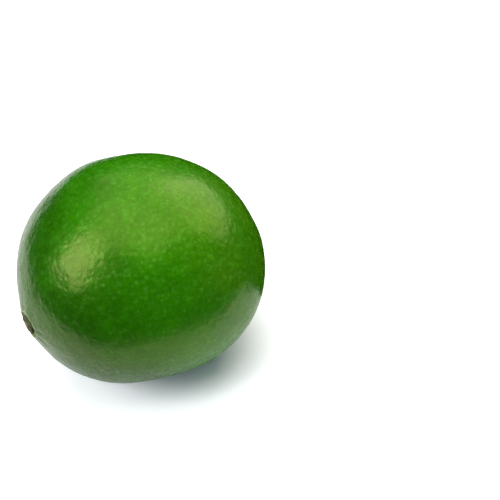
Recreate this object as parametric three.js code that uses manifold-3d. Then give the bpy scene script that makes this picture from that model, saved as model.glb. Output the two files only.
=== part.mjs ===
// A whole green lime lying on its side, with the stem button still on it.
// Millimetres, +Z up. The fruit's long axis lies along X with the blossom end towards +X, and it rests on a
// small flat spot in the plane z = 0. The origin is the middle of the box's underside.
import * as THREE from 'three';
import { mergeVertices } from 'three/addons/utils/BufferGeometryUtils.js';
import Module from 'manifold-3d';

// ---- Driving dimensions ----

const FRUIT_LENGTH = 60.8; // along X, before the swells below
const FRUIT_WIDTH = 55.6; // across, the same in Y and Z
const FLAT_DEPTH = 0.5; // how much of the underside the resting spot takes off

// The stalk joined the fruit a little below and to one side of its long axis.
const STEM_DIP = THREE.MathUtils.degToRad(5.5);
const STEM_SIDE = THREE.MathUtils.degToRad(11.8);

// The seat is the shallow cup in the skin that holds the button, inside a raised collar.
const SEAT_RADIUS = 3.3;
const SEAT_DEPTH = 1.3;
const SEAT_WALL = 0.5; // how far the cup's wall slopes in
const COLLAR_HEIGHT = 0.7;
const COLLAR_SPREAD = 4.8;

// The blossom end is a low blunt nipple, a little to the other side of the long axis.
const BLOSSOM_SIDE = THREE.MathUtils.degToRad(14);
const NIPPLE_HEIGHT = 0.9;
const NIPPLE_SPREAD = 3.4;

const BUTTON_RADIUS = 2.5;
const BUTTON_THICKNESS = 0.9;
const BUTTON_BEVEL = 0.35; // round its upper edge
const BUTTON_UNDERCUT = 0.25; // round its lower edge
const BUTTON_DISH = 0.15; // the ring between the stalk and the edge lies this much lower
const BUTTON_LOBES = 5;
const LOBE_DEPTH = 0.16; // of the radius
const STALK_RADIUS = 0.85; // the broken stalk in the middle of the button
const STALK_HEIGHT = 0.25; // above the button's edge
const STALK_CHAMFER = 0.1;
const FIT_GAP = 0.3; // between the button and its seat

// ---- The fruit's outline as a formula ----

const stemAxis = new THREE.Vector3(
  -Math.cos(STEM_DIP) * Math.cos(STEM_SIDE),
  -Math.cos(STEM_DIP) * Math.sin(STEM_SIDE),
  -Math.sin(STEM_DIP),
);
const blossomAxis = new THREE.Vector3(Math.cos(BLOSSOM_SIDE), Math.sin(BLOSSOM_SIDE), 0);

// Broad swells and flats that make each fruit its own shape: which way each faces, how far it stands out
// (or sinks in, below zero), and how far it spreads over the skin.
const SWELLS = [
  { name: 'stem_shoulder', faces: [-0.27, 0.72, 0.64], height: 0.5, spread: 9 },
  { name: 'top_dimple', faces: [0.07, 0.68, 0.73], height: -0.35, spread: 4 },
  { name: 'stem_cheek', faces: [-0.96, 0.27, -0.09], height: -1.2, spread: 7.5 },
  { name: 'lower_stem_shoulder', faces: [-0.73, -0.31, -0.61], height: 0.35, spread: 8 },
  { name: 'front_cheek', faces: [-0.02, -0.69, -0.72], height: -1, spread: 10 },
  { name: 'blossom_shoulder', faces: [0.8, -0.54, -0.25], height: 0.35, spread: 10 },
  { name: 'blossom_cheek', faces: [0.93, 0.01, 0.37], height: -0.5, spread: 9 },
].map((swell) => ({ ...swell, faces: new THREE.Vector3(...swell.faces).normalize() }));

const bell = (distance, spread) => Math.exp(-((distance / spread) ** 2));

// The distance over the skin, near enough, from the point that the unit vector `pole` looks at.
const skinDistance = (direction, pole) => (FRUIT_WIDTH / 2) * direction.angleTo(pole);

// How far the skin is from the fruit's middle in a direction, without the seat.
function bodyRadius(direction) {
  const round = 0.5 / Math.hypot(
    direction.x / FRUIT_LENGTH,
    direction.y / FRUIT_WIDTH,
    direction.z / FRUIT_WIDTH,
  );
  const swelling = SWELLS.reduce(
    (sum, { faces, height, spread }) => sum + height * bell(skinDistance(direction, faces), spread),
    0,
  );
  const collar = COLLAR_HEIGHT * bell(skinDistance(direction, stemAxis), COLLAR_SPREAD);
  const nipple = NIPPLE_HEIGHT * bell(skinDistance(direction, blossomAxis), NIPPLE_SPREAD);
  return round + swelling + collar + nipple;
}

// The seat's floor is flat and square to the stem axis, at this height along it.
const seatFloor = bodyRadius(stemAxis) - SEAT_DEPTH;

// The skin's own radius: the body's, cut down to the seat's floor near the stem.
function skinRadius(direction) {
  const body = bodyRadius(direction);
  const alongStem = direction.dot(stemAxis);
  if (alongStem < 0.9) return body;
  const fromAxis = body * Math.sqrt(Math.max(0, 1 - alongStem * alongStem));
  const inSeat = 1 - THREE.MathUtils.smoothstep(fromAxis, SEAT_RADIUS - SEAT_WALL, SEAT_RADIUS);
  return THREE.MathUtils.lerp(body, seatFloor / alongStem, inSeat);
}

// ---- The fruit ----

const RING_COUNT = 60;
const SEGMENT_COUNT = 64;
const POLE_CROWDING = 0.8; // rings lie closer together at the stem and blossom ends

// A ball of radius 1 about the stem axis, with its pole at the stem.
function unitBall() {
  const outline = Array.from({ length: RING_COUNT + 1 }, (_, ring) => {
    const share = ring / RING_COUNT;
    const turn = Math.PI * share - (POLE_CROWDING / 2) * Math.sin(2 * Math.PI * share);
    const onAxis = ring === 0 || ring === RING_COUNT;
    return new THREE.Vector2(onAxis ? 0 : Math.sin(turn), -Math.cos(turn));
  });
  const up = new THREE.Vector3(0, 1, 0);
  return new THREE.LatheGeometry(outline, SEGMENT_COUNT).applyQuaternion(
    new THREE.Quaternion().setFromUnitVectors(up, stemAxis),
  );
}

function fruitGeometry() {
  const ball = unitBall();
  const place = ball.getAttribute('position');
  const point = new THREE.Vector3();
  for (let i = 0; i < place.count; i += 1) {
    point.fromBufferAttribute(place, i).normalize();
    point.multiplyScalar(skinRadius(point));
    place.setXYZ(i, point.x, point.y, point.z);
  }
  return ball;
}

// ---- Cutting the resting spot ----

const wasm = await Module();
wasm.setup();

function toManifold(geometry) {
  const bare = geometry.clone();
  bare.deleteAttribute('normal');
  bare.deleteAttribute('uv');
  const merged = mergeVertices(bare, 1e-3);
  return new wasm.Manifold(new wasm.Mesh({
    numProp: 3,
    vertProperties: merged.getAttribute('position').array,
    triVerts: new Uint32Array(merged.index.array),
  }));
}

function toGeometry(solid) {
  const { vertProperties, triVerts } = solid.getMesh();
  const geometry = new THREE.BufferGeometry();
  geometry.setAttribute('position', new THREE.BufferAttribute(vertProperties, 3));
  geometry.setIndex(new THREE.BufferAttribute(triVerts, 1));
  geometry.computeVertexNormals();
  return geometry;
}

// Takes the lowest FLAT_DEPTH off a geometry with one level cut.
function withRestingSpot(geometry) {
  geometry.computeBoundingBox();
  const cutHeight = geometry.boundingBox.min.z + FLAT_DEPTH;
  const blockSize = 2 * FRUIT_LENGTH;
  const block = new THREE.BoxGeometry(blockSize, blockSize, blockSize);
  block.translate(0, 0, cutHeight - blockSize / 2);
  return toGeometry(toManifold(geometry).subtract(toManifold(block)));
}

// ---- The stem button ----

const BUTTON_SEGMENTS = 50; // ten to a lobe

// A low five-lobed disc, the dried calyx, with the broken stalk standing in its middle. Its underside is at
// z = 0 and its axis is Z.
function buttonGeometry() {
  const top = BUTTON_THICKNESS;
  const outline = [
    [0, 0],
    [BUTTON_RADIUS - BUTTON_UNDERCUT, 0],
    [BUTTON_RADIUS, BUTTON_UNDERCUT],
    [BUTTON_RADIUS, top - BUTTON_BEVEL],
    [BUTTON_RADIUS - BUTTON_BEVEL, top],
    [STALK_RADIUS + BUTTON_DISH, top - BUTTON_DISH],
    [STALK_RADIUS, top],
    [STALK_RADIUS - STALK_CHAMFER, top + STALK_HEIGHT],
    [0, top + STALK_HEIGHT - STALK_CHAMFER],
  ].map(([radius, height]) => new THREE.Vector2(radius, height));
  const disc = new THREE.LatheGeometry(outline, BUTTON_SEGMENTS).rotateX(Math.PI / 2);
  const place = disc.getAttribute('position');
  for (let i = 0; i < place.count; i += 1) {
    const [x, y] = [place.getX(i), place.getY(i)];
    const outward = THREE.MathUtils.smoothstep(Math.hypot(x, y), STALK_RADIUS, BUTTON_RADIUS);
    const notch = (1 - Math.cos(BUTTON_LOBES * Math.atan2(y, x))) / 2;
    const scale = 1 - LOBE_DEPTH * outward * notch ** 3;
    place.setXY(i, x * scale, y * scale);
  }
  return disc;
}

// ---- Materials and assembly ----

const waxedPeel = new THREE.MeshStandardMaterial({ color: 0x3a7a12, roughness: 0.3, metalness: 0 });
const driedCalyx = new THREE.MeshStandardMaterial({ color: 0x6b6238, roughness: 0.8, metalness: 0 });

function named(name, geometry, material) {
  const mesh = new THREE.Mesh(geometry, material);
  mesh.name = name;
  return mesh;
}

const fruit = named('fruit', withRestingSpot(fruitGeometry()), waxedPeel);

const stemButton = named('stem_button', buttonGeometry(), driedCalyx);
stemButton.position.copy(stemAxis).multiplyScalar(seatFloor + FIT_GAP);
stemButton.quaternion.setFromUnitVectors(new THREE.Vector3(0, 0, 1), stemAxis);

const lime = new THREE.Group();
lime.add(fruit, stemButton);

// Puts the origin at the middle of the box's underside.
const box = new THREE.Box3().setFromObject(lime, true);
const middle = box.getCenter(new THREE.Vector3());
const whole = new THREE.Group();
lime.position.set(-middle.x, -middle.y, -box.min.z);
whole.add(lime);

export default whole;
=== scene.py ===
# %% [markdown]
# # A whole green lime on a white table
# This lesson builds one fruit as a greengrocer would know it: a Tahiti lime lying on its side, with the
# dried stem button still in its seat. The CAD part gives the true size and place. Blender adds what the eye
# reads as lime: the dimpled, waxy rind with its oil glands, the woody button, and soft studio light.

import math

import bmesh
import bpy
import numpy as np
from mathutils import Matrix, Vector, noise
from mathutils.bvhtree import BVHTree


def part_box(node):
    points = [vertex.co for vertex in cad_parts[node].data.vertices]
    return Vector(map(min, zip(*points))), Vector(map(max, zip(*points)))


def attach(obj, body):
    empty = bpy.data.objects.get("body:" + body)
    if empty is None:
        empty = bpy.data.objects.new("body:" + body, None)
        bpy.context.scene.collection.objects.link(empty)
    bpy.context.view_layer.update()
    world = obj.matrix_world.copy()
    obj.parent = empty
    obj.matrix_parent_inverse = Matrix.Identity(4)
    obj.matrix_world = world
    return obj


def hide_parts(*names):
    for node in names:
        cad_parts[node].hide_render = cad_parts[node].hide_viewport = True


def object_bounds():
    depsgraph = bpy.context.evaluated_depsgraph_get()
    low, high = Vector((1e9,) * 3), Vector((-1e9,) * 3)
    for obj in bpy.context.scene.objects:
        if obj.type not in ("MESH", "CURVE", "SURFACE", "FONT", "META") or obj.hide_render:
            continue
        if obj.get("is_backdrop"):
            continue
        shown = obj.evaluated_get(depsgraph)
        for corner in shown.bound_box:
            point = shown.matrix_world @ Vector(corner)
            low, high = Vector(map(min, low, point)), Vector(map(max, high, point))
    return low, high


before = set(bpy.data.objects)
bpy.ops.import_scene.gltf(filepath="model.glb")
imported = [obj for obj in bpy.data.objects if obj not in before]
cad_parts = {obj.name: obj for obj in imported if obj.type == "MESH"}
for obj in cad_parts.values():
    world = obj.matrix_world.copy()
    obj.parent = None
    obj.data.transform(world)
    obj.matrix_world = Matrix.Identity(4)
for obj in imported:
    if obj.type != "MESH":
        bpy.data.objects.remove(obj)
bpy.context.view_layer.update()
print("CAD nodes:", sorted(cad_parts))

MM = 0.001  # Blender works in metres, and this fruit is measured in millimetres

# %% [markdown]
# ## The fruit's form
# A lime grows from the stem to the blossom end, and nothing about it is quite round. A formula is the best
# mould for it: one radius for each direction from the middle. It starts from an oval, and broad swells and
# flats are added to it, then the collar round the stem, the seat that holds the button, and the low nipple
# at the blossom end. These are the same numbers that the solid part was made with, so the two agree.

# %% The radius of the fruit in each direction
FRUIT_LENGTH = 60.8
FRUIT_WIDTH = 55.6
STEM_DIP = math.radians(5.5)
STEM_SIDE = math.radians(11.8)
stem_axis = np.array([
    -math.cos(STEM_DIP) * math.cos(STEM_SIDE),
    -math.cos(STEM_DIP) * math.sin(STEM_SIDE),
    -math.sin(STEM_DIP),
])
BLOSSOM_SIDE = math.radians(14)
blossom_axis = np.array([math.cos(BLOSSOM_SIDE), math.sin(BLOSSOM_SIDE), 0.0])

# Which way each swell faces, how far it stands out (below zero: sinks in), and how far it spreads, in mm.
SWELLS = {
    "stem shoulder": ((-0.27, 0.72, 0.64), 0.5, 9),
    "top dimple": ((0.07, 0.68, 0.73), -0.35, 4),
    "stem cheek": ((-0.96, 0.27, -0.09), -1.2, 7.5),
    "lower stem shoulder": ((-0.73, -0.31, -0.61), 0.35, 8),
    "front cheek": ((-0.02, -0.69, -0.72), -1, 10),
    "blossom shoulder": ((0.8, -0.54, -0.25), 0.35, 10),
    "blossom cheek": ((0.93, 0.01, 0.37), -0.5, 9),
    "stem collar": (stem_axis, 0.7, 4.8),
    "blossom nipple": (blossom_axis, 0.9, 3.4),
}


def body_radius(direction):
    """The skin's distance from the middle, in mm, without the seat."""
    size = np.array([FRUIT_LENGTH, FRUIT_WIDTH, FRUIT_WIDTH])
    radius = 0.5 / np.linalg.norm(direction / size, axis=-1)
    for faces, height, spread in SWELLS.values():
        pole = np.array(faces) / np.linalg.norm(faces)
        away = FRUIT_WIDTH / 2 * np.arccos(np.clip(direction @ pole, -1, 1))
        radius = radius + height * np.exp(-((away / spread) ** 2))
    return radius


# %% The seat of the stem button
SEAT_RADIUS = 3.3
SEAT_DEPTH = 1.3
SEAT_WALL = 0.5
seat_floor = float(body_radius(stem_axis)) - SEAT_DEPTH


def smoothstep(value, low, high):
    share = np.clip((value - low) / (high - low), 0, 1)
    return share * share * (3 - 2 * share)


def skin_radius(direction):
    """The skin's distance from the middle, in mm, with the seat pressed in."""
    body = body_radius(direction)
    along = np.clip(direction @ stem_axis, 1e-3, 1)
    from_axis = body * np.sqrt(1 - along**2)
    near_stem = (direction @ stem_axis > 0.9) * 1.0
    in_seat = near_stem * (1 - smoothstep(from_axis, SEAT_RADIUS - SEAT_WALL, SEAT_RADIUS))
    return body * (1 - in_seat) + seat_floor / along * in_seat


print("radius at the stem, blossom end and top in mm:", [
    round(float(body_radius(axis)), 2) for axis in (stem_axis, blossom_axis, np.array([0.0, 0.0, 1.0]))
])

# %% [markdown]
# ## Furrows round the stem
# The rind was drawn in towards the stalk as the fruit swelled, so faint furrows run out from the seat like
# the gathers of a drawstring bag. They fade out within a few millimetres. Each is a low wave round the stem
# axis, strongest just outside the collar.

# %% Shallow gathers in the rind
FURROW_DEPTH = 0.16
FURROW_COUNT = 9
stem_side = np.cross(stem_axis, [0, 0, 1])
stem_side /= np.linalg.norm(stem_side)
stem_up = np.cross(stem_side, stem_axis)


def furrow_depth(points):
    """How deep the gathers press in at each point, in mm, from the fruit's middle."""
    round_stem = np.arctan2(points @ stem_up, points @ stem_side)
    from_axis = np.hypot(points @ stem_up, points @ stem_side)
    wave = 0.5 + 0.5 * np.cos(FURROW_COUNT * round_stem + 1.4 * np.sin(2 * round_stem))
    window = np.exp(-(((from_axis - 4.9) / 1.7) ** 2)) * (points @ stem_axis > 0)
    return FURROW_DEPTH * window * wave**2


# %% [markdown]
# ## An even net of faces
# A globe with meridians crowds its faces at the poles. A cube blown up to a ball keeps them nearly square
# everywhere, which suits a skin whose pores are the same size all over. Taking the tangent of each cube
# coordinate first evens the squares out further.

# %% Blow a cube up to the fruit
FACE_CUTS = 127

net = bmesh.new()
bmesh.ops.create_cube(net, size=2)
bmesh.ops.subdivide_edges(net, edges=net.edges[:], cuts=FACE_CUTS, use_grid_fill=True)
skin_mesh = bpy.data.meshes.new("fruit_skin")
net.to_mesh(skin_mesh)
net.free()

corners = np.empty(len(skin_mesh.vertices) * 3)
skin_mesh.vertices.foreach_get("co", corners)
directions = np.tan(corners.reshape(-1, 3) * math.pi / 4)
directions /= np.linalg.norm(directions, axis=1, keepdims=True)
points = directions * skin_radius(directions)[:, None]
print("skin faces:", len(skin_mesh.polygons), "points:", len(points))

# %% Set it where the CAD fruit is
fruit_low, fruit_high = (np.array(corner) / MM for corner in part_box("fruit"))
middle = np.array([
    (fruit_low[0] + fruit_high[0] - points[:, 0].min() - points[:, 0].max()) / 2,
    (fruit_low[1] + fruit_high[1] - points[:, 1].min() - points[:, 1].max()) / 2,
    fruit_high[2] - points[:, 2].max(),
])
points -= directions * furrow_depth(points)[:, None]
points += middle
print("fruit's middle in mm:", np.round(middle, 2))


def set_points(mesh, places):
    """Moves a mesh's points to places in mm, resting nothing lower than the table."""
    resting = places.copy()
    resting[:, 2] = np.maximum(resting[:, 2], 0)
    mesh.vertices.foreach_set("co", (resting * MM).ravel())
    mesh.update()


set_points(skin_mesh, points)
skin_mesh.shade_smooth()
fruit_skin = bpy.data.objects.new("fruit_skin", skin_mesh)
bpy.context.collection.objects.link(fruit_skin)

# %% [markdown]
# ## Oil glands pressed into the rind
# Citrus rind is full of oil glands, about a millimetre apart, and the wax-smooth skin dips a little over
# each. A Voronoi texture scatters points at just such an even, unplanned spacing. Geometry nodes read it here
# to press real dimples into the mesh, and the rind's material reads the same texture later to tint each
# gland, so that colour and dimple stay together. Two slower noises add the soft unevenness between them.

# %% One helper for every node
GLAND_SPACING = 1.15 * MM
GLAND_DEPTH = 0.07 * MM


def add_node(tree, kind, inputs=None, **settings):
    """Adds a node. Inputs maps its sockets to values or to other nodes' outputs. Settings set its modes."""
    node = tree.nodes.new(kind)
    for name, value in settings.items():
        setattr(node, name, value)
    for socket, value in (inputs or {}).items():
        if isinstance(value, bpy.types.NodeSocket):
            tree.links.new(value, node.inputs[socket])
        else:
            node.inputs[socket].default_value = value
    return node


# %% Press the dimples in
relief = bpy.data.node_groups.new("rind relief", "GeometryNodeTree")
relief.interface.new_socket("Geometry", in_out="INPUT", socket_type="NodeSocketGeometry")
relief.interface.new_socket("Geometry", in_out="OUTPUT", socket_type="NodeSocketGeometry")
relief_in = add_node(relief, "NodeGroupInput")
glands = add_node(relief, "ShaderNodeTexVoronoi", {"Scale": 1 / GLAND_SPACING, "Randomness": 0.85})
dimple = add_node(relief, "ShaderNodeMapRange", {
    "Value": glands.outputs["Distance"], "From Max": 0.55, "To Min": -GLAND_DEPTH, "To Max": 0.0,
}, interpolation_type="SMOOTHSTEP")
lumps = add_node(relief, "ShaderNodeTexNoise", {"Scale": 1 / (3.2 * MM), "Detail": 1.0})
lump_height = add_node(relief, "ShaderNodeMapRange", {
    "Value": lumps.outputs[0], "From Min": 0.2, "From Max": 0.8, "To Min": -0.05 * MM, "To Max": 0.05 * MM,
})
rolls = add_node(relief, "ShaderNodeTexNoise", {"Scale": 1 / (11 * MM), "Detail": 1.0})
roll_height = add_node(relief, "ShaderNodeMapRange", {
    "Value": rolls.outputs[0], "From Min": 0.2, "From Max": 0.8, "To Min": -0.12 * MM, "To Max": 0.12 * MM,
})
uneven = add_node(relief, "ShaderNodeMath", {0: lump_height.outputs[0], 1: roll_height.outputs[0]})
height = add_node(relief, "ShaderNodeMath", {0: uneven.outputs[0], 1: dimple.outputs[0]})
outward = add_node(relief, "GeometryNodeInputNormal")
offset = add_node(relief, "ShaderNodeVectorMath", {
    0: outward.outputs[0], "Scale": height.outputs[0],
}, operation="SCALE")
pressed = add_node(relief, "GeometryNodeSetPosition", {
    "Geometry": relief_in.outputs[0], "Offset": offset.outputs[0],
})
add_node(relief, "NodeGroupOutput", {0: pressed.outputs[0]})

# %% Keep the dimpled mesh
fruit_skin.modifiers.new("rind relief", "NODES").node_group = relief
dimpled = bpy.data.meshes.new_from_object(
    fruit_skin.evaluated_get(bpy.context.evaluated_depsgraph_get())
)
fruit_skin.modifiers.clear()
fruit_skin.data = dimpled
dimpled.name = "fruit_skin"
places = np.empty(len(dimpled.vertices) * 3)
dimpled.vertices.foreach_get("co", places)
set_points(dimpled, places.reshape(-1, 3) / MM)
pressed_in = np.linalg.norm(places.reshape(-1, 3) / MM - points, axis=1)
print("rind relief, mean and most in mm:", round(pressed_in.mean(), 3), round(pressed_in.max(), 3))

# %% Compare it with the CAD fruit
cad_fruit = BVHTree.FromObject(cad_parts["fruit"], bpy.context.evaluated_depsgraph_get())
gaps = [cad_fruit.find_nearest(vertex.co)[3] for vertex in list(dimpled.vertices)[::40]]
print("skin to CAD fruit, mean and most in mm:", round(np.mean(gaps) / MM, 3), round(max(gaps) / MM, 3))

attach(fruit_skin, "root")
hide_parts("fruit")

# %% [markdown]
# ## The stem button
# The button is the calyx, the star of small leaves that held the flower, dried down to a woody disc. The
# stalk broke off in its middle and left a rough stub with a ring of vessels. It is turned like a small knob
# on a lathe, then its rim is drawn in between the five leaves and its top wrinkled as drying does.

# %% Turn the button's outline
BUTTON_RADIUS = 2.5
BUTTON_TOP = 0.9
STALK_RADIUS = 0.85
RING_COUNT = 72
SPOKE_COUNT = 180

outline = np.array([
    (0, 0), (1.6, 0), (2.2, 0), (2.45, 0.2), (2.5, 0.45), (2.38, 0.75), (2.1, 0.9), (1.7, 0.86),
    (1.3, 0.76), (1.02, 0.78), (0.88, 0.92), (0.8, 1.1), (0.62, 1.12), (0.35, 1.04), (0, 1.02),
])
steps = np.r_[0, np.cumsum(np.linalg.norm(np.diff(outline, axis=0), axis=1))]
along_outline = np.linspace(0, steps[-1], RING_COUNT)
ring_radius = np.interp(along_outline, steps, outline[:, 0])
ring_height = np.interp(along_outline, steps, outline[:, 1])

# %% Draw in its rim and wrinkle its top
spoke = np.linspace(0, 2 * math.pi, SPOKE_COUNT, endpoint=False)
radius, turn = np.meshgrid(ring_radius, spoke, indexing="ij")
level = np.repeat(ring_height[:, None], SPOKE_COUNT, axis=1)
rim_share = smoothstep(radius, STALK_RADIUS, BUTTON_RADIUS)
notch = (0.5 - 0.5 * np.cos(5 * turn)) ** 3
radius = radius * (1 - 0.16 * rim_share * notch)
top_share = smoothstep(level, 0.3, 0.75)
wrinkle = 0.035 * np.cos(23 * turn + 2 * np.sin(3 * turn)) * rim_share * top_share
rough = np.array([
    noise.noise(Vector((3.1 * r * math.cos(a), 3.1 * r * math.sin(a), 4 * z)))
    for r, a, z in zip(radius.ravel(), turn.ravel(), level.ravel())
]).reshape(radius.shape)
level = level + wrinkle + 0.05 * rough * top_share - 0.1 * rim_share * notch * top_share
radius = radius * (1 + 0.02 * rough)

# %% Close it into one mesh
rim_points = np.stack([radius * np.cos(turn), radius * np.sin(turn), level], axis=-1)
button_middle = stem_axis * (seat_floor + 0.3) + middle
button_points = (
    rim_points[..., :1] * stem_side + rim_points[..., 1:2] * stem_up + rim_points[..., 2:] * stem_axis
) + button_middle
ring_points = [
    button_points[0].mean(axis=0)[None],
    *button_points[1:-1],
    button_points[-1].mean(axis=0)[None],
]
starts = np.r_[0, np.cumsum([len(ring) for ring in ring_points])]
faces = []
for ring in range(len(ring_points) - 1):
    for k in range(SPOKE_COUNT):
        after = (k + 1) % SPOKE_COUNT
        low, high = starts[ring], starts[ring + 1]
        if ring == 0:
            faces.append((low, high + after, high + k))
        elif ring == len(ring_points) - 2:
            faces.append((low + k, low + after, high))
        else:
            faces.append((low + k, low + after, high + after, high + k))
button_mesh = bpy.data.meshes.new("stem_button_calyx")
button_mesh.from_pydata((np.vstack(ring_points) * MM).tolist(), [], faces)
button_mesh.shade_smooth()
stem_button = bpy.data.objects.new("stem_button_calyx", button_mesh)
bpy.context.collection.objects.link(stem_button)
print("button faces:", len(faces), "box in mm:", [round(side / MM, 2) for side in stem_button.dimensions])

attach(stem_button, "root")
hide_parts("stem_button")

# %% [markdown]
# ## Waxed lime rind
# Rind is a thin clear cuticle of wax over green, oil-filled tissue. The wax gives the eye a soft gloss, sharp
# enough to show a window and blurred by the dimples. Under it the colour is uneven at four sizes: slow drifts
# from deep green to yellower green, a fine mottling, freckles, and a small paler dot over each gland. The
# slow drifts also hold painted light and shade, lighter to the right and top. Building them one after another
# keeps each one's size in plain millimetres.

# %% Colours from hex
def linear(hex_colour):
    """Turns an sRGB hex colour into the linear RGBA that Blender mixes."""
    parts = [int(hex_colour[i:i + 2], 16) / 255 for i in (1, 3, 5)]
    return (*[c / 12.92 if c <= 0.04045 else ((c + 0.055) / 1.055) ** 2.4 for c in parts], 1.0)


def new_material(name):
    """Makes a material and gives it back with its node tree and its Principled shader."""
    material = bpy.data.materials.new(name)
    material.use_nodes = True
    return material, material.node_tree, material.node_tree.nodes["Principled BSDF"]


# %% Slow drifts of green, with painted light and shade
DEEP_GREEN = linear("#1A4E00")  # used towards the left and the bottom: painted shade
LEAF_GREEN = linear("#2A7400")
YELLOW_GREEN = linear("#417F00")  # used towards the right and the top: painted light
rind, rind_tree, rind_shader = new_material("waxed lime rind")
place = add_node(rind_tree, "ShaderNodeTexCoord").outputs["Object"]
patches = add_node(rind_tree, "ShaderNodeTexNoise", {
    "Vector": place, "Scale": 1 / (16 * MM), "Detail": 3.0, "Roughness": 0.55,
})
# The rind is lighter towards the right and the top and darker towards the left and the bottom: painted light
# and shade. The noise patches are the rind's own uneven tone.
painted_light_direction = Vector((0.8, -0.37, 0.42)).normalized()
painted_shade_height = add_node(rind_tree, "ShaderNodeVectorMath", {
    0: place, 1: painted_light_direction / (75 * MM),
}, operation="DOT_PRODUCT")
tone_and_painted_shade = add_node(rind_tree, "ShaderNodeMath", {
    0: patches.outputs[0], 1: 0.6, 2: painted_shade_height.outputs["Value"],
}, operation="MULTIPLY_ADD")
ground = add_node(rind_tree, "ShaderNodeValToRGB", {0: tone_and_painted_shade.outputs[0]})
ground.color_ramp.elements[0].position = 0.34
ground.color_ramp.elements[0].color = DEEP_GREEN
ground.color_ramp.elements[1].position = 0.92
ground.color_ramp.elements[1].color = YELLOW_GREEN
ground.color_ramp.elements.new(0.66).color = LEAF_GREEN

# %% A paler dot over each gland
GLAND_TINT = 0.6  # how strong the dot is in the middle of a gland
rind_glands = add_node(rind_tree, "ShaderNodeTexVoronoi", {
    "Vector": place, "Scale": 1 / GLAND_SPACING, "Randomness": 0.85,
})
gland_dot = add_node(rind_tree, "ShaderNodeMapRange", {
    "Value": rind_glands.outputs["Distance"], "From Min": 0.15, "From Max": 0.6,
    "To Min": GLAND_TINT, "To Max": 0.0,
}, interpolation_type="SMOOTHSTEP")
freckles = add_node(rind_tree, "ShaderNodeTexNoise", {
    "Vector": place, "Scale": 1 / (1.7 * MM), "Detail": 3.0, "Roughness": 0.6,
})
freckle_share = add_node(rind_tree, "ShaderNodeMapRange", {
    "Value": freckles.outputs[0], "From Min": 0.4, "From Max": 0.68, "To Min": 0.25, "To Max": 1.0,
})
dot_share = add_node(rind_tree, "ShaderNodeMath", {
    0: gland_dot.outputs[0], 1: freckle_share.outputs[0],
}, operation="MULTIPLY")
dotted = add_node(rind_tree, "ShaderNodeHueSaturation", {
    "Hue": 0.497, "Saturation": 0.93, "Value": 1.6, "Fac": dot_share.outputs[0], "Color": ground.outputs[0],
})

# %% A fine mottling over all of it
mottling = add_node(rind_tree, "ShaderNodeTexNoise", {
    "Vector": place, "Scale": 1 / (1.4 * MM), "Detail": 5.0, "Roughness": 0.7,
})
mottle_value = add_node(rind_tree, "ShaderNodeMapRange", {
    "Value": mottling.outputs[0], "From Min": 0.3, "From Max": 0.7, "To Min": 0.84, "To Max": 1.24,
})
mottled = add_node(rind_tree, "ShaderNodeHueSaturation", {
    "Value": mottle_value.outputs[0], "Color": dotted.outputs[0],
})

# %% Corky skin in the seat and a scar at the blossom end
CORKY_OLIVE = linear("#5F6A30")
stem_point = Vector((stem_axis * (seat_floor + SEAT_DEPTH) + middle) * MM)
blossom_point = Vector((blossom_axis * body_radius(blossom_axis) + middle) * MM)
from_stem = add_node(rind_tree, "ShaderNodeVectorMath", {0: place, 1: stem_point}, operation="DISTANCE")
from_blossom = add_node(rind_tree, "ShaderNodeVectorMath", {0: place, 1: blossom_point}, operation="DISTANCE")
corky_seat = add_node(rind_tree, "ShaderNodeMapRange", {
    "Value": from_stem.outputs["Value"], "From Min": 2.9 * MM, "From Max": 3.4 * MM,
    "To Min": 0.9, "To Max": 0.0,
}, interpolation_type="SMOOTHSTEP")
corky_scar = add_node(rind_tree, "ShaderNodeMapRange", {
    "Value": from_blossom.outputs["Value"], "From Min": 0.5 * MM, "From Max": 1.1 * MM,
    "To Min": 0.9, "To Max": 0.0,
}, interpolation_type="SMOOTHSTEP")
corky = add_node(rind_tree, "ShaderNodeMath", {
    0: corky_seat.outputs[0], 1: corky_scar.outputs[0],
}, operation="MAXIMUM")

# %% A painted highlight: a pale ring round the seat's rim
# The pale ring stands for the highlight on the seat's rim: a painted highlight, broken up by the freckles.
LIP_HIGHLIGHT_GREEN = linear("#94A95E")
lip_wander = add_node(rind_tree, "ShaderNodeMapRange", {
    "Value": mottling.outputs[0], "From Min": 0.3, "From Max": 0.7, "To Min": -0.05, "To Max": 0.05,
})
lip_distance = add_node(rind_tree, "ShaderNodeMath", {
    0: from_stem.outputs["Value"], 1: 1 / (5 * MM), 2: lip_wander.outputs[0],
}, operation="MULTIPLY_ADD")
lip_highlight_share = add_node(rind_tree, "ShaderNodeValToRGB", {0: lip_distance.outputs[0]})
lip_highlight_share.color_ramp.elements[0].position = 0.64
lip_highlight_share.color_ramp.elements[1].position = 0.71
lip_highlight_share.color_ramp.elements.new(0.83).color = (0, 0, 0, 1)
painted_lip_highlight = add_node(rind_tree, "ShaderNodeMath", {
    0: lip_highlight_share.outputs[0], 1: freckle_share.outputs[0],
}, operation="MULTIPLY")
lip_highlighted = add_node(rind_tree, "ShaderNodeMix", {
    0: painted_lip_highlight.outputs[0], 6: mottled.outputs[0], 7: LIP_HIGHLIGHT_GREEN,
}, data_type="RGBA")
rind_colour = add_node(rind_tree, "ShaderNodeMix", {
    0: corky.outputs[0], 6: lip_highlighted.outputs[2], 7: CORKY_OLIVE,
}, data_type="RGBA")
rind_tree.links.new(rind_colour.outputs[2], rind_shader.inputs["Base Color"])

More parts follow.
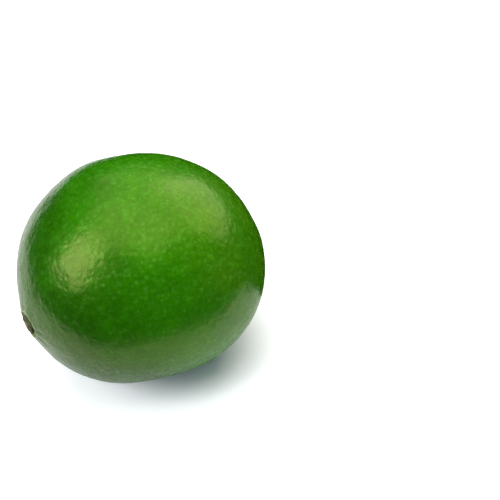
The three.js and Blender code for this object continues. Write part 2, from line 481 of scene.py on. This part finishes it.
# %% Wax: its gloss and its finest grain
# Wax bends light like most oils and fats. The tint lets some of the yellow-green below into each reflection.
rind_shader.inputs["IOR"].default_value = 1.42
rind_shader.inputs["Specular Tint"].default_value = linear("#FFFF96")
wax_film = add_node(rind_tree, "ShaderNodeMapRange", {
    "Value": freckles.outputs[0], "From Min": 0.3, "From Max": 0.7, "To Min": 0.22, "To Max": 0.3,
})
rind_tree.links.new(wax_film.outputs[0], rind_shader.inputs["Roughness"])
pores = add_node(rind_tree, "ShaderNodeTexNoise", {
    "Vector": place, "Scale": 1 / (0.55 * MM), "Detail": 2.0,
})
wax_bump = add_node(rind_tree, "ShaderNodeBump", {
    "Strength": 1.0, "Distance": 0.04 * MM, "Height": pores.outputs[0],
})
rind_tree.links.new(wax_bump.outputs[0], rind_shader.inputs["Normal"])
fruit_skin.data.materials.clear()
fruit_skin.data.materials.append(rind)
print("rind nodes:", len(rind_tree.nodes))

# %% [markdown]
# ## Dried calyx
# The calyx is dead plant tissue, between bark and straw. The eye reads it by its dullness and by its rings:
# olive lobes, a hollow painted dark as shade, the brown bark of the stalk, a ring of dark vessels and pale
# pith in the middle.
# The rings follow the distance from the button's middle. Nothing in it shines, so the roughness is high, and
# a fine fibrous noise breaks up both its colour and its surface.

# %% Rings and fibres
calyx, calyx_tree, calyx_shader = new_material("dried calyx")
calyx_place = add_node(calyx_tree, "ShaderNodeTexCoord").outputs["Object"]
fibres = add_node(calyx_tree, "ShaderNodeTexNoise", {
    "Vector": calyx_place, "Scale": 1 / (0.5 * MM), "Detail": 4.0, "Roughness": 0.65,
})
fibre_shade = add_node(calyx_tree, "ShaderNodeMapRange", {
    "Value": fibres.outputs[0], "From Min": 0.3, "From Max": 0.7, "To Min": 0.55, "To Max": 1.5,
})
from_axis = add_node(calyx_tree, "ShaderNodeVectorMath", {
    0: calyx_place, 1: Vector((button_middle + stem_axis) * MM),
}, operation="DISTANCE")
ring_share = add_node(calyx_tree, "ShaderNodeMath", {
    0: from_axis.outputs["Value"], 1: 1 / (BUTTON_RADIUS * MM),
}, operation="MULTIPLY")
ring_colour = add_node(calyx_tree, "ShaderNodeValToRGB", {0: ring_share.outputs[0]})
ring_colour.color_ramp.elements[0].position = 0.1
ring_colour.color_ramp.elements[0].color = linear("#A89B74")
ring_colour.color_ramp.elements[1].position = 1.0
ring_colour.color_ramp.elements[1].color = linear("#434A20")
ring_colour.color_ramp.elements.new(0.2).color = linear("#4A3A20")
ring_colour.color_ramp.elements.new(0.32).color = linear("#77683F")
# The dark ring in the hollow between the stalk and the lobes is painted shade.
ring_colour.color_ramp.elements.new(0.42).color = linear("#32341A")
ring_colour.color_ramp.elements.new(0.8).color = linear("#3B421A")
fibre_colour = add_node(calyx_tree, "ShaderNodeHueSaturation", {
    "Value": fibre_shade.outputs[0], "Color": ring_colour.outputs[0],
})
calyx_tree.links.new(fibre_colour.outputs[0], calyx_shader.inputs["Base Color"])
calyx_shader.inputs["Roughness"].default_value = 0.8
fibre_bump = add_node(calyx_tree, "ShaderNodeBump", {
    "Strength": 0.5, "Distance": 0.06 * MM, "Height": fibres.outputs[0],
})
calyx_tree.links.new(fibre_bump.outputs[0], calyx_shader.inputs["Normal"])
stem_button.data.materials.append(calyx)

# %% [markdown]
# ## The camera
# A long lens keeps the fruit's oval free of distortion. The camera looks down on the table at 42 degrees and
# a little from the stem side, and aims beside the fruit, so that the fruit lies left of the frame's middle.

# %% Place the camera
CAMERA_TURN = math.radians(-20.4)
CAMERA_HEIGHT = math.radians(42)
CAMERA_DISTANCE = 336 * MM
back = Vector((
    math.sin(CAMERA_TURN) * math.cos(CAMERA_HEIGHT),
    -math.cos(CAMERA_TURN) * math.cos(CAMERA_HEIGHT),
    math.sin(CAMERA_HEIGHT),
))
right = Vector((math.cos(CAMERA_TURN), math.sin(CAMERA_TURN), 0))
up = back.cross(right)
fruit_middle = Vector(middle * MM)
aim = fruit_middle + right * 26.4 * MM + up * 4.5 * MM

camera_data = bpy.data.cameras.new("camera")
camera_data.lens = 100
camera_data.sensor_width = 36
camera_data.clip_start = 0.01
camera = bpy.data.objects.new("camera", camera_data)
camera.location = aim + back * CAMERA_DISTANCE
camera.rotation_mode = "QUATERNION"
camera.rotation_quaternion = back.to_track_quat("Z", "Y")
bpy.context.collection.objects.link(camera)
bpy.context.scene.camera = camera

# %% [markdown]
# ## A white table
# The table glows white to the horizon by its own emission, and near the fruit that emission fades into a
# painted shadow, dark and a touch blue. Wax mirrors the room, so what the fruit sees matters as much as what
# lights it. Here the two are split. The camera sees the table, while the fruit is lit by and mirrors a small
# paper sheet, with the dark room beyond the sheet's edge.

# %% Directions round the fruit
def toward(turn, rise=0.0):
    """A direction from the fruit. Turn 0 is towards the camera's side, and 90 to its right."""
    turn, rise = math.radians(turn), math.radians(rise)
    ahead = Vector((back.x, back.y, 0)).normalized()
    return (ahead * math.cos(turn) + right * math.sin(turn)) * math.cos(rise) + Vector((0, 0, math.sin(rise)))


# %% White table whose glow fades to a painted shadow by the fruit
painted_table, painted_table_tree, painted_table_shader = new_material("white table with painted glow and shadow")
painted_table_shader.inputs["Base Color"].default_value = linear("#F4F5F6")
painted_table_shader.inputs["Roughness"].default_value = 0.9
painted_table_shader.inputs["Specular IOR Level"].default_value = 0.2
painted_table_place = add_node(painted_table_tree, "ShaderNodeTexCoord").outputs["Object"]
# The emission is dimmest and bluish a little right of and behind the fruit's foot: a painted shadow.
from_painted_shadow_middle = add_node(painted_table_tree, "ShaderNodeVectorMath", {
    0: painted_table_place, 1: (fruit_middle + toward(114) * 10 * MM) * Vector((1, 1, 0)),
}, operation="DISTANCE")
# The positions on this ramp are distances in metres.
table_glow_and_painted_shadow = add_node(painted_table_tree, "ShaderNodeValToRGB", {0: from_painted_shadow_middle.outputs["Value"]})
table_glow_and_painted_shadow.color_ramp.elements[0].position = 0.0145
table_glow_and_painted_shadow.color_ramp.elements[0].color = linear("#343F46")
table_glow_and_painted_shadow.color_ramp.elements[1].position = 0.8
table_glow_and_painted_shadow.color_ramp.elements[1].color = linear("#FFFFFF")
table_glow_and_painted_shadow.color_ramp.elements.new(0.0235).color = linear("#9C9FA4")
table_glow_and_painted_shadow.color_ramp.elements.new(0.15).color = linear("#A8AAAB")
painted_table_tree.links.new(table_glow_and_painted_shadow.outputs[0], painted_table_shader.inputs["Emission Color"])
painted_table_shader.inputs["Emission Strength"].default_value = 1.0


# %% Lay the table and the sheet under it
def sheet(name, outline_points, level, material):
    """A flat sheet through the given points, in metres, at a height."""
    mesh = bpy.data.meshes.new(name)
    mesh.from_pydata([(x, y, level) for x, y in outline_points], [], [range(len(outline_points))])
    made = bpy.data.objects.new(name, mesh)
    made.data.materials.append(material)
    bpy.context.collection.objects.link(made)
    made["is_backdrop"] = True
    return made


TABLE_RADIUS = 6.0
table = sheet("table", [
    (TABLE_RADIUS * math.cos(a), TABLE_RADIUS * math.sin(a)) for a in np.linspace(0, 2 * math.pi, 97)[:-1]
], -0.02 * MM, painted_table)
table.visible_glossy = False
table.visible_diffuse = False
table.visible_shadow = False

# Plain paper, dull and a touch blue: the grey-green light in the lower third of the fruit comes from it.
paper, _, paper_shader = new_material("matt white paper")
paper_shader.inputs["Base Color"].default_value = linear("#F4F5F6")
paper_shader.inputs["Roughness"].default_value = 0.9
paper_shader.inputs["Specular IOR Level"].default_value = 0.2

# Where the near sheet ends: the turn from the camera's side in degrees, and the distance in mm.
SHEET_EDGE = [
    (0, 72), (30, 78), (60, 86), (75, 95), (90, 88), (105, 50), (130, 30), (155, 28), (175, 40),
    (-170, 150), (-150, 260), (-130, 260), (-110, 220), (-95, 170), (-85, 130), (-60, 96), (-40, 72),
    (-25, 60), (-15, 62),
]
near_sheet = sheet("near_sheet", [
    (fruit_middle + toward(turn) * distance * MM).xy for turn, distance in SHEET_EDGE
], -0.05 * MM, paper)
near_sheet.visible_camera = False
print("table radius in m:", TABLE_RADIUS, "sheet reaches, in mm:", max(reach for _, reach in SHEET_EDGE))

# %% [markdown]
# ## Soft studio light
# A smooth wax skin shows each softbox as a bright patch, and a matt table shows only how much light arrives.
# So each panel is set by how bright its face is, against a white sheet at 1, and some of them work in one
# way only: the skylight and the back right panel as reflections, the ceiling and the right fill as light. The
# small, bright window at the front left is the highlight, and it throws the soft shadow to the right.

# %% Hang the softboxes
def softbox(name, turn, rise, distance, width, height, brightness, tint="#FFFFFF"):
    """A panel facing the fruit. Its distance and sides are in metres."""
    data = bpy.data.lights.new(name, "AREA")
    data.shape = "RECTANGLE"
    data.size, data.size_y = width, height
    data.energy = brightness * math.pi * width * height
    data.color = linear(tint)[:3]
    made = bpy.data.objects.new(name, data)
    direction = toward(turn, rise)
    made.location = fruit_middle + direction * distance
    made.rotation_mode = "QUATERNION"
    made.rotation_quaternion = direction.to_track_quat("Z", "Y")
    made.visible_camera = False
    bpy.context.collection.objects.link(made)
    return made


softbox("overhead", 180, 85, 0.7, 0.9, 0.9, 0.95, "#FFFAEC")
ceiling_fill = softbox("ceiling fill", 180, 84, 0.72, 0.9, 0.9, 2.0)
ceiling_fill.visible_glossy = False
back_right = softbox("back right", 130, 34, 0.8, 0.85, 0.62, 2.8, "#FFF7E0")
back_right.visible_diffuse = False
softbox("back", 178, 40, 0.8, 0.8, 0.5, 1.1, "#FFF0CC")
softbox("window", -62, 35, 0.6, 0.36, 0.42, 6.9)
right_fill = softbox("right fill", 75, 4, 0.8, 0.5, 0.4, 2.2)
right_fill.visible_glossy = False
skylight = softbox("skylight", -25, 82, 0.7, 1.0, 0.62, 1.35, "#FFF7E0")
skylight.visible_diffuse = False

# %% Fill the room
room = bpy.data.worlds.new("room")
room.use_nodes = True
room_tree = room.node_tree
room_shader = room_tree.nodes["Background"]
rays = add_node(room_tree, "ShaderNodeLightPath")
seen_by_wax = add_node(room_tree, "ShaderNodeMix", {
    0: rays.outputs["Is Glossy Ray"], 6: linear("#464F5A"), 7: linear("#000000"),
}, data_type="RGBA")
seen_by_camera = add_node(room_tree, "ShaderNodeMix", {
    0: rays.outputs["Is Camera Ray"], 6: seen_by_wax.outputs[2], 7: linear("#FFFFFF"),
}, data_type="RGBA")
room_tree.links.new(seen_by_camera.outputs[2], room_shader.inputs["Color"])
bpy.context.scene.world = room
bpy.context.scene.view_settings.view_transform = "Standard"

# %% [markdown]
# ## The size of the finished fruit
# The finished fruit has to fill the same box as the measured part, so its box is printed.

# %% Print the fruit's box
low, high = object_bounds()
print("visual box in mm:", [round(1000 * side, 2) for side in high - low])
